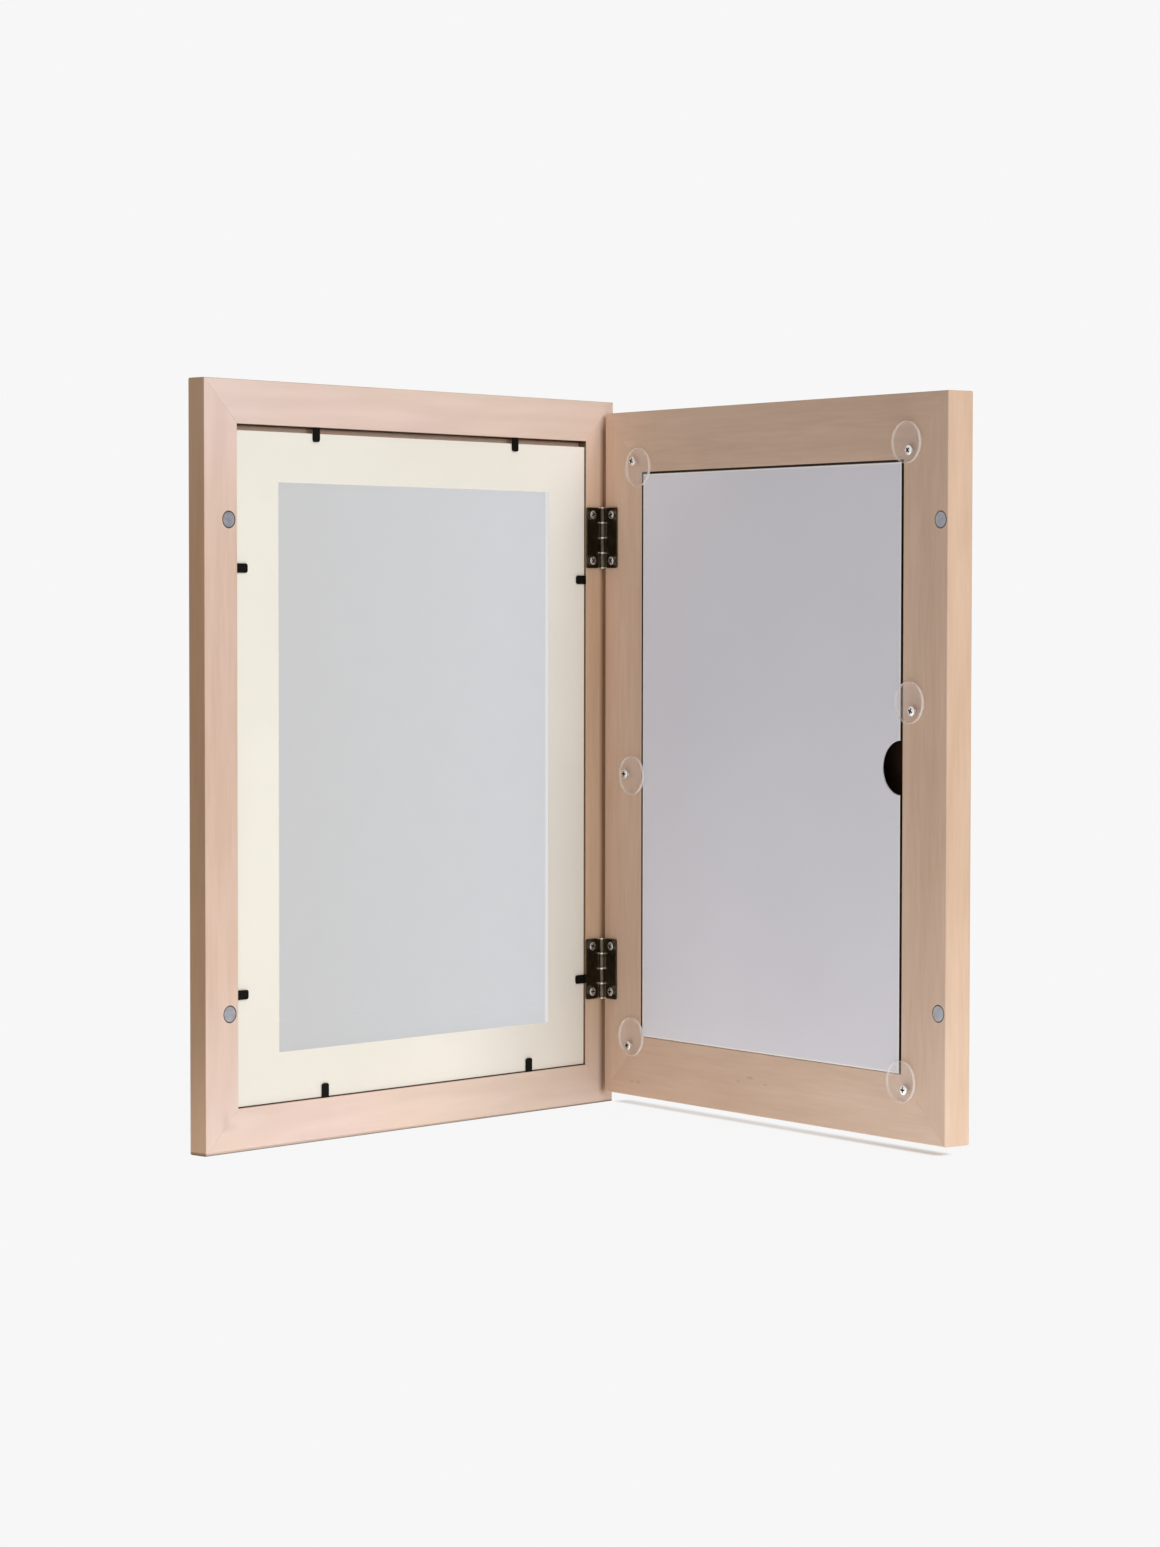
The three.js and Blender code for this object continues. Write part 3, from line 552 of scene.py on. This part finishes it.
def panel_sheet():
    """Thin light grey sheet with a faint orange peel, painted light towards the hinge, painted
    highlights on its edges and painted shade at its sides.
    """
    edge_highlight_band = (0.7 * millimetre, 0.95 * millimetre)
    gap_shade_band = (0.15 * millimetre, 0.25 * millimetre)
    hinge_widths = (-0.09, 0.08)
    m = new_material("panel_sheet")
    place = m.place()
    width = m.along(place, box_across)
    peel = m.noise(place, scale=700)
    clouds = m.span(m.noise(place, scale=9), *soft)
    tint = m.mix(clouds, colour(0.72, 0.702, 0.75), colour(0.755, 0.737, 0.785))
    # Painted light: paler towards the hinge
    tint = m.tinted(m.fade(width, *hinge_widths), tint, grey(1.07))
    low, high = (Vector(corner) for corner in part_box("display_panel"))
    middle, half = (low + high) / 2, (high - low) / 2
    from_side = m.from_edge(width, middle.x, half.x)
    from_end = m.from_edge(m.along(place, up), middle.z, half.z)
    # Painted highlight along the edges of the sheet
    edge = m.fade(m.math("MINIMUM", from_side, from_end), *edge_highlight_band)
    tint = m.mix(edge, tint, colour(0.95, 0.91, 0.88))
    # Painted shade in the gaps at the sides of the sheet
    tint = m.mix(m.fade(from_side, *gap_shade_band), tint, gap_shade_brown)
    return m.finish(Base_Color=tint, Roughness=m.span(peel, *soft, 0.42, 0.5),
                    Normal=m.bump(peel, 0.03 * millimetre), Specular_IOR_Level=0.5)


def back_board():
    """Dark hardboard with short fibres, with painted shade on its face inside the box."""
    m = new_material("back_board")
    place = m.place()
    fibres = m.noise(place, scale=420, detail=6, roughness=0.7)
    clouds = m.noise(place, scale=22, detail=3)
    tint = m.mix(m.span(fibres, *crisp), colour(0.28, 0.17, 0.10), colour(0.40, 0.26, 0.16))
    tint = m.mix(m.span(clouds, 0.4, 0.6, 0, 0.35), tint, colour(0.32, 0.20, 0.12))
    # Painted shade on the face that looks into the box
    inside = m.span(m.facing(box_out), *looks_along)
    tint = m.tinted(inside, tint, colour(0.17, 0.13, 0.11))
    return m.finish(Base_Color=tint, Roughness=0.7, Normal=m.bump(fibres, 0.08 * millimetre))


def pane_sheet():
    """Clear sheet, dusty in the mat's window and clean where the mat covers it; its grey tint in the
    window is painted shade.
    """
    window_half_width = 102 * millimetre
    window_half_height = 145.5 * millimetre
    window_level = -1.35 * millimetre
    hinge_runs = (0.08, 0.22)
    clean_film = 0.05
    m = new_material("pane_sheet")
    place = m.place()
    run = door_run(m, place)
    from_side = m.from_edge(run, door_middle, window_half_width)
    from_end = m.from_edge(m.along(place, up), window_level, window_half_height)
    window = m.span(m.math("MINIMUM", from_side, from_end), 0, millimetre)
    dust = m.span(m.noise(place, scale=60, detail=3), *soft, 0.03, 0.04)
    film = m.math("ADD", m.math("MULTIPLY", window, dust), clean_film)
    smear = m.span(m.noise(place, scale=25, detail=3), *soft, 0.03, 0.06)
    m.finish(Base_Color=colour(0.36, 0.37, 0.375), Roughness=smear, Specular_IOR_Level=0.5)
    # Painted shade: grey tint in the window, standing for a darker background seen through the sheet
    cool_grey, plain_grey = colour(0.865, 0.872, 0.884), colour(0.846, 0.845, 0.848)
    tint = m.mix(window, grey(1), m.mix(m.fade(run, *hinge_runs), plain_grey, cool_grey))
    clear = m.node("ShaderNodeBsdfTransparent", {"Color": tint})
    m.show_mix(film, clear.outputs[0], m.shader.outputs[0])
    return m.data


# Plastic and metal


def clear_disc():
    """Clear plastic whose faces nearly vanish and whose polished rim gathers the light."""
    rim_alpha, face_alpha, most_scuff = 0.5, 0.08, 0.05
    rim_facing, scuff_contrast = (0.35, 0.97), (0.5, 0.8)
    m = new_material("clear_disc")
    rim = m.fade(m.size(m.facing(box_out)), *rim_facing)
    scuff = m.span(m.noise(m.place(), scale=500, detail=3), *scuff_contrast, 0, most_scuff)
    alpha = m.math("ADD", m.math("MULTIPLY", rim, rim_alpha), m.math("ADD", scuff, face_alpha))
    tint = m.mix(rim, colour(0.96, 0.88, 0.86), colour(0.99, 0.95, 0.9))
    return m.finish(Base_Color=tint, Roughness=m.span(scuff, 0, most_scuff, 0.04, 0.12),
                    Alpha=alpha, Specular_IOR_Level=0.5)


def tab_plastic():
    """Black plastic with a fine matt grain."""
    m = new_material("tab_plastic")
    grain = m.noise(m.place(), scale=1200, detail=3)
    tint = m.mix(m.span(grain, *soft), colour(0.004, 0.003, 0.002), colour(0.008, 0.007, 0.006))
    return m.finish(Base_Color=tint, Roughness=m.span(grain, *soft, 0.45, 0.6),
                    Normal=m.bump(grain, 0.02 * millimetre), Specular_IOR_Level=0.05)


def polish(m, scale=400):
    """Faint unevenness in the polish of a metal."""
    return m.noise(m.place(), scale=scale, detail=3, roughness=0.6)


def plated(m, cloud, tint, smoothest, roughest):
    """Finishes a metal whose gloss follows the unevenness in its polish."""
    return m.finish(Base_Color=tint, Metallic=1.0, Roughness=m.span(cloud, *soft, smoothest, roughest),
                    Normal=m.bump(cloud, 0.01 * millimetre))


def metal(name, pale, dark, roughness):
    """Plated metal without wear."""
    m = new_material(name)
    cloud = polish(m)
    tint = m.mix(m.span(cloud, *crisp), dark, pale)
    return plated(m, cloud, tint, 0.8 * roughness, 1.2 * roughness)


def hinge_metal(which):
    """Black nickel plate, polished, with painted highlights where the knuckles meet and end."""
    knuckle_count = 4
    knuckle_reach = 2.3 * millimetre
    joint_highlight_band = (0.3 * millimetre, 0.45 * millimetre)
    crease_start = (1.85 * millimetre, 1.95 * millimetre)
    crease_end = (2.4 * millimetre, 2.5 * millimetre)
    lower_of_two = (0.9, 0.95)
    m = new_material(f"hinge_plate_{which}")
    place = m.place()
    cloud = polish(m, scale=220)
    tint = m.mix(m.span(cloud, *crisp), colour(0.07, 0.056, 0.038), colour(0.12, 0.1, 0.072))
    low, high = (Vector(corner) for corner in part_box(f"hinge_leaf_box_{which}"))
    pitch = (high.z - low.z) / knuckle_count
    step = m.math("DIVIDE", m.math("SUBTRACT", m.along(place, up), low.z), pitch)
    off_step = m.size(m.math("SUBTRACT", step, m.math("ROUND", step)))
    offset = m.offset(place, hinge_axis)
    sideways = m.along(offset, box_across)
    from_axis = m.length(m.vector(sideways, m.along(offset, box_out)))
    # Painted highlights where the knuckles meet
    joint = m.math("MULTIPLY", m.fade(m.math("MULTIPLY", off_step, pitch), *joint_highlight_band),
                   m.fade(from_axis, knuckle_reach, knuckle_reach + 0.1 * millimetre))
    every_second = m.fade(m.math("FLOORED_MODULO", step, 2.0), *lower_of_two)
    # Painted highlight where every second knuckle joins its leaf
    crease_highlight = m.math("MULTIPLY", every_second, m.span(sideways, *crease_start),
                    m.fade(sideways, *crease_end))
    tint = m.mix(m.math("MAXIMUM", joint, crease_highlight), tint, colour(0.72, 0.69, 0.62))
    return plated(m, cloud, tint, 0.14, 0.22)


def magnet_metal(name):
    """Satin nickel disc with a painted shade ring at its rim, where it sinks into its hole."""
    shade_ring_from_share, shade_ring_to_share = 0.84, 0.93
    m = new_material(f"{name}_plate")
    low, high = (Vector(corner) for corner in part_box(name))
    radius = (high.z - low.z) / 2
    offset = m.offset(m.place(), (low + high) / 2)
    across = door_across if name.startswith("door") else box_across
    away = m.length(m.vector(m.along(offset, across), m.along(offset, up)))
    cloud = polish(m)
    tint = m.mix(m.span(cloud, *crisp), colour(0.34, 0.35, 0.39), colour(0.42, 0.43, 0.47))
    # Painted shade in the gap round the disc
    rim = m.span(away, shade_ring_from_share * radius, shade_ring_to_share * radius)
    tint = m.mix(rim, tint, colour(0.06, 0.055, 0.06))
    return plated(m, cloud, tint, 0.31, 0.46)


zinc = metal("bright_zinc", colour(0.86, 0.85, 0.82), colour(0.7, 0.69, 0.66), 0.34)
# Painted shade: near-black metal for the cross recesses of the screws
recess_shade = metal("recess_shade", colour(0.03, 0.025, 0.02), colour(0.01, 0.009, 0.007), 0.6)
finishes = {
    "mat_board": mat_card(),
    "display_panel": panel_sheet(),
    "back_panel": back_board(),
    "door_pane": pane_sheet(),
    "retaining_tab": tab_plastic(),
    "hinge_screw": zinc,
    "button_screw": zinc,
    "hanger_screw": zinc,
    "hanger_plate": metal("hanger_zinc", colour(0.6, 0.6, 0.57), colour(0.46, 0.46, 0.44), 0.34),
    "turn_button": clear_disc(),
}
for member, settings in wood_members.items():
    finishes[member] = wood(member, *settings)
for disc in (node for node in nodes if "magnet" in node):
    finishes[disc] = magnet_metal(disc)
for which in ("upper", "lower"):
    hinge_plate = hinge_metal(which)
    for part in ("leaf_box", "leaf_door", "pin"):
        finishes[f"hinge_{part}_{which}"] = hinge_plate


def finish_of(name):
    return next(finish for prefix, finish in finishes.items() if name.startswith(prefix))


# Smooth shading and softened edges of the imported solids

# Width of the softened edges of each kind of node, in millimetres
edge_softness = {
    "retaining_tab": 0.14,
    "hinge_leaf": 0.25,
    "hinge_pin": 0.05,
    "hanger_plate": 0.18,
    "door_magnet": 0.06,
    "box_magnet": 0.06,
}
weld_distance = 0.002 * millimetre
round_up_to = math.radians(28)
soften_from = math.radians(35)
sharp_from = math.radians(40)


def weld_and_smooth():
    """Modifier nodes that join shared corners and shade round faces smoothly."""
    group = bpy.data.node_groups.new("weld_and_smooth", "GeometryNodeTree")
    group.interface.new_socket("Geometry", in_out="INPUT", socket_type="NodeSocketGeometry")
    group.interface.new_socket("Geometry", in_out="OUTPUT", socket_type="NodeSocketGeometry")
    link = group.links.new
    start = group.nodes.new("NodeGroupInput")
    plain = group.nodes.new("GeometryNodeRemoveAttribute")
    plain.inputs["Name"].default_value = "custom_normal"
    weld = group.nodes.new("GeometryNodeMergeByDistance")
    weld.inputs["Distance"].default_value = weld_distance
    faces = group.nodes.new("GeometryNodeSetShadeSmooth")
    edges = group.nodes.new("GeometryNodeSetShadeSmooth")
    edges.domain = "EDGE"
    edges.inputs["Shade Smooth"].default_value = False
    angle = group.nodes.new("GeometryNodeInputMeshEdgeAngle")
    sharp = group.nodes.new("FunctionNodeCompare")
    sharp.inputs["B"].default_value = round_up_to
    end = group.nodes.new("NodeGroupOutput")
    link(start.outputs[0], plain.inputs["Geometry"])
    link(plain.outputs[0], weld.inputs["Geometry"])
    link(weld.outputs[0], faces.inputs["Geometry"])
    link(faces.outputs[0], edges.inputs["Geometry"])
    link(angle.outputs["Unsigned Angle"], sharp.inputs["A"])
    link(sharp.outputs[0], edges.inputs["Selection"])
    link(edges.outputs[0], end.inputs[0])
    return group


def soften(piece, width):
    """Rounds the sharp edges of a piece a little."""
    bevel = piece.modifiers.new("soft_edges", "BEVEL")
    bevel.width = width
    bevel.segments = 2
    bevel.limit_method = "ANGLE"
    bevel.angle_limit = soften_from


def shade_evenly(piece):
    even = piece.modifiers.new("even_faces", "WEIGHTED_NORMAL")
    even.keep_sharp = True


def dress_nodes():
    smoothing = weld_and_smooth()
    for name, node in nodes.items():
        node.data.materials.clear()
        node.data.materials.append(finish_of(name))
        node.modifiers.new("weld_and_smooth", "NODES").node_group = smoothing
        for prefix, width in edge_softness.items():
            if name.startswith(prefix):
                soften(node, width * millimetre)
        shade_evenly(node)


dress_nodes()


# Finer fittings in place of the plain screws and turn buttons, drawn in millimetres


def closed_mesh(name, shape, finish):
    bmesh.ops.recalc_face_normals(shape, faces=shape.faces)
    mesh = bpy.data.meshes.new(name)
    shape.to_mesh(mesh)
    shape.free()
    mesh.materials.append(finish)
    return mesh


def turned(name, profile, steps, finish):
    """Mesh turned about Z from (radius, z) points that start and end on the axis."""
    shape = bmesh.new()
    rings = []
    for radius, z in profile:
        count = steps if radius > 0 else 1
        turns = [2 * math.pi * i / count for i in range(count)]
        ring = [shape.verts.new((radius * math.cos(t), radius * math.sin(t), z)) for t in turns]
        rings.append(ring)
    for lower, upper in zip(rings, rings[1:]):
        for i in range(steps):
            corners = [lower[i % len(lower)], lower[(i + 1) % len(lower)],
                       upper[(i + 1) % len(upper)], upper[i % len(upper)]]
            corners = list(dict.fromkeys(corners))
            if len(corners) > 2:
                shape.faces.new(corners)
    return closed_mesh(name, shape, finish)


def cross_plug(radius, top, depth):
    """Tapered plug that cuts the cross recess of a screw head and lines it with near-black metal as
    painted shade.
    """
    reach, half = 0.74 * radius, 0.17 * radius
    tip_scale = 0.42
    outline = [(reach, half), (half, half), (half, reach)]
    shape = bmesh.new()
    levels = []
    for scale, z in ((tip_scale, top - depth), (1.0, top), (1.0, top + depth)):
        ring = []
        for quarter in range(4):
            turn = Matrix.Rotation(quarter * math.pi / 2, 3, "Z")
            for x, y in outline:
                ring.append(shape.verts.new(turn @ Vector((x * scale, y * scale, z))))
        levels.append(ring)
    for lower, upper in zip(levels, levels[1:]):
        for i in range(len(lower)):
            after = (i + 1) % len(lower)
            shape.faces.new((lower[i], lower[after], upper[after], upper[i]))
    shape.faces.new(levels[0][::-1])
    shape.faces.new(levels[-1])
    bmesh.ops.triangulate(shape, faces=[face for face in shape.faces if len(face.verts) > 4])
    return closed_mesh("cross_plug", shape, recess_shade)


def carved(mesh, cutter, softness):
    """Mesh without what the cutter takes, with softened edges, in metres."""
    blank = bpy.data.objects.new("blank", mesh)
    tool = bpy.data.objects.new("tool", cutter)
    for helper in (blank, tool):
        bpy.context.scene.collection.objects.link(helper)
    carve = blank.modifiers.new("carve", "BOOLEAN")
    carve.operation = "DIFFERENCE"
    carve.solver = "EXACT"
    carve.material_mode = "TRANSFER"
    carve.object = tool
    soften(blank, softness)
    graph = bpy.context.evaluated_depsgraph_get()
    made = bpy.data.meshes.new_from_object(blank.evaluated_get(graph))
    for helper in (blank, tool):
        bpy.data.objects.remove(helper)
    made.transform(Matrix.Scale(millimetre, 4))
    made.shade_smooth()
    made.set_sharp_from_angle(angle=sharp_from)
    return made


def seat(name, out):
    """Frame at the middle of a fitting's outermost face, with Z outward, and its sizes."""
    side = box_across if abs(out.dot(up)) > 0.5 else up
    third = out.cross(side)
    places = [vertex.co for vertex in nodes[name].data.vertices]
    spans = []
    for direction in (side, third, out):
        reaches = [place.dot(direction) for place in places]
        spans.append((min(reaches), max(reaches)))
    middle = [(low + high) / 2 for low, high in spans]
    centre = side * middle[0] + third * middle[1] + out * spans[2][1]
    axes = Matrix((side, third, out)).transposed().to_4x4()
    sizes = [(high - low) / millimetre for low, high in spans]
    return Matrix.Translation(centre) @ axes, sizes


def fit(mesh, name, body, matrix):
    """Puts a finer piece in the place of a node."""
    mesh.transform(matrix)
    piece = bpy.data.objects.new(f"fine_{name}", mesh)
    bpy.context.scene.collection.objects.link(piece)
    shade_evenly(piece)
    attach(piece, body)
    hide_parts(name)


screw_steps = 48
disc_steps = 96
dome_points = 7
screw_tip = 2.0
screw_softness = 0.05


def dome(radius, foot, rise):
    """Points of a low dome from its rim to the axis."""
    turns = [math.pi / 2 * i / dome_points for i in range(dome_points)]
    points = [(radius * math.cos(t), foot + rise * math.sin(t)) for t in turns]
    return points + [(0, foot + rise)]


def pan_head_screw(head_radius, shank_radius, length):
    head_height = 0.8
    brim = 0.1
    recess_depth = 0.6
    profile = [(0, -length), (shank_radius, screw_tip - length), (shank_radius, -head_height),
               (head_radius - brim, -head_height), (head_radius, brim - head_height)]
    crown = dome(head_radius, 2 * brim - head_height, head_height - 2 * brim)
    mesh = turned("pan_head_screw", profile + crown, screw_steps, zinc)
    return carved(mesh, cross_plug(head_radius, 0, recess_depth), screw_softness)


def sunk_screw(head_radius, shank_radius, length, rise):
    rim = 0.2
    recess_depth = 1.0
    profile = [(0, -length), (shank_radius, screw_tip - length),
               (shank_radius, shank_radius - head_radius - rim), (head_radius, -rim)]
    mesh = turned("sunk_screw", profile + dome(head_radius, 0, rise), screw_steps, zinc)
    return carved(mesh, cross_plug(head_radius, rise, recess_depth), screw_softness)


# Names, direction, body, and the rise of a sunk head, which a pan head lacks
screw_kinds = [
    ("button_screw", box_out, "storage_box", None),
    ("hinge_screw_box", box_out, "storage_box", 0.3),
    ("hinge_screw_door", door_out, "door", 0.3),
    ("hanger_screw", box_back, "storage_box", 0.0),
]


def fine_screws():
    shank_share = 0.46
    turn_share = 0.37
    for prefix, out, body, rise in screw_kinds:
        mesh = None
        for order, name in enumerate(sorted(node for node in nodes if node.startswith(prefix))):
            matrix, (width, _, length) = seat(name, out)
            radius = width / 2
            if mesh is None and rise is None:
                mesh = pan_head_screw(radius, shank_share * radius, length)
            elif mesh is None:
                mesh = sunk_screw(radius, shank_share * radius, length, rise)
            turn = Matrix.Rotation(order * turn_share * math.pi, 4, "Z")
            fit(mesh.copy(), name, body, matrix @ turn)


def turn_button(radius, thickness, pivot):
    """Clear disc with rounded rims and a countersunk bore at its pivot."""
    rounding = 0.45
    bore_radius = 1.2
    mouth_radius = 1.75
    cone_depth = 0.4 * thickness
    softness = 0.04
    turns = [math.radians(degrees) for degrees in (0, 22.5, 45, 67.5, 90)]
    corner = [(radius - rounding + rounding * math.sin(t), rounding - rounding * math.cos(t))
              for t in turns]
    low = [(reach, z - thickness) for reach, z in corner]
    high = [(reach, -z) for reach, z in reversed(corner)]
    clear = finishes["turn_button"]
    mesh = turned("turn_button", [(0, -thickness), *low, *high, (0, 0)], disc_steps, clear)
    profile = [(0, -2 * thickness), (bore_radius, -2 * thickness), (bore_radius, -cone_depth),
               (mouth_radius, 0.0), (mouth_radius, thickness), (0, thickness)]
    bore = turned("bore", profile, screw_steps, clear)
    bore.transform(Matrix.Translation(pivot))
    return carved(mesh, bore, softness)


def fine_buttons():
    for name in sorted(node for node in nodes if node.startswith("turn_button")):
        matrix, (width, _, thickness) = seat(name, box_out)
        joint = joints[name.replace("turn_button", "button_turn")]
        pivot = matrix.inverted() @ Vector(joint["pos_m"]) / millimetre
        pivot.z = 0
        fit(turn_button(width / 2, thickness, pivot), name, name, matrix)


fine_screws()
fine_buttons()


# Studio, in metres

backdrop_white = 0.933
room_light = 0.354
room_tint = colour(0.97, 0.985, 1.0)
key_place, key_aim = (2.0, 0.2, 1.2), (0, -0.1, 0)
key_side, key_watts = 1.2, 28
bounce_place = (0.05, -0.35, floor_level + 0.2 * millimetre)
bounce_aim = (0.05, -0.35, 1)
bounce_side, bounce_watts = 1.1, 2.4
floor_reach = 12.0

# Strip of the floor beside the foot of the box, where its shadow shows
strip_start = Vector((-0.138, -0.0035, floor_level))
strip_length = 0.258
strip_edge = (2.5 * millimetre, 7.5 * millimetre)
strip_tint = colour(0.9, 0.99, 1.05)


def softbox(name, place, aim, side, watts):
    """Square lamp that the camera doesn't see."""
    data = bpy.data.lights.new(name, "AREA")
    data.shape = "RECTANGLE"
    data.size = side
    data.size_y = side
    data.energy = watts
    lamp = bpy.data.objects.new(name, data)
    lamp.location = place
    lamp.rotation_euler = (Vector(aim) - Vector(place)).to_track_quat("-Z", "Y").to_euler()
    lamp.visible_camera = False
    bpy.context.scene.collection.objects.link(lamp)


def studio_world():
    """Even grey light, seen as a white backdrop by the eye, by gloss and through clear sheets."""
    m = Shading(bpy.data.worlds.new("studio"), "Background", "World Output")
    m.finish(Color=room_tint, Strength=room_light)
    white = m.node("ShaderNodeBackground", {"Color": grey(1), "Strength": backdrop_white})
    m.show_mix(m.backdrop_rays(), m.shader.outputs[0], white.outputs[0])
    bpy.context.scene.world = m.data


def beside(m, place, start, direction, length):
    """Distance of a place on the floor from a line of some length."""
    offset = m.offset(place, start)
    run = m.along(offset, direction)
    over = m.math("SUBTRACT", run, m.math("MINIMUM", m.math("MAXIMUM", run, 0.0), length))
    return m.length(m.vector(over, m.along(offset, direction.cross(up))))


def floor_paper():
    """Paper that shows its shadow close to the box, and is as white as the backdrop elsewhere."""
    corner_widths, corner_shares = (0.0, 0.12), (0.5, 0.85)
    near_edge, near_shares = (0.1, 0.5), (0.02, 0)
    lit_brightness = 1.0
    m = new_material("floor_paper")
    place = m.place()
    by_box = beside(m, place, strip_start, box_across, strip_length)
    strip = m.fade(by_box, *strip_edge)
    to_corner = m.span(m.along(place, box_across), *corner_widths, *corner_shares)
    near = m.span(by_box, *near_edge, *near_shares)
    shown = m.math("MAXIMUM", m.math("MULTIPLY", strip, to_corner), near)
    hidden = m.math("SUBTRACT", 1.0, shown)
    tint = m.mix(m.span(m.noise(place, scale=160), *soft), grey(0.9), grey(0.92))
    m.finish(Base_Color=m.tinted(strip, tint, strip_tint), Roughness=0.9, Specular_IOR_Level=0.1)
    lacking = m.math("SUBTRACT", backdrop_white, m.math("MULTIPLY", shown, lit_brightness))
    strength = m.math("DIVIDE", lacking, hidden)
    glow = m.node("ShaderNodeEmission", {"Color": grey(1), "Strength": strength})
    share = m.math("MULTIPLY", m.backdrop_rays(), hidden)
    m.show_mix(share, m.shader.outputs[0], glow.outputs[0])
    return m.data


def floor():
    """Pale floor under the object, which reaches far past what the camera sees."""
    reach = floor_reach
    corners = [(-reach, -reach), (reach, -reach), (reach, reach), (-reach, reach)]
    mesh = bpy.data.meshes.new("floor")
    mesh.from_pydata([(x, y, floor_level) for x, y in corners], [], [(0, 1, 2, 3)])
    ground = bpy.data.objects.new("floor", mesh)
    bpy.context.scene.collection.objects.link(ground)
    mesh.materials.append(floor_paper())


studio_world()
softbox("key_softbox", key_place, key_aim, key_side, key_watts)
softbox("table_bounce", bounce_place, bounce_aim, bounce_side, bounce_watts)
floor()

bpy.context.scene.view_settings.view_transform = "Standard"
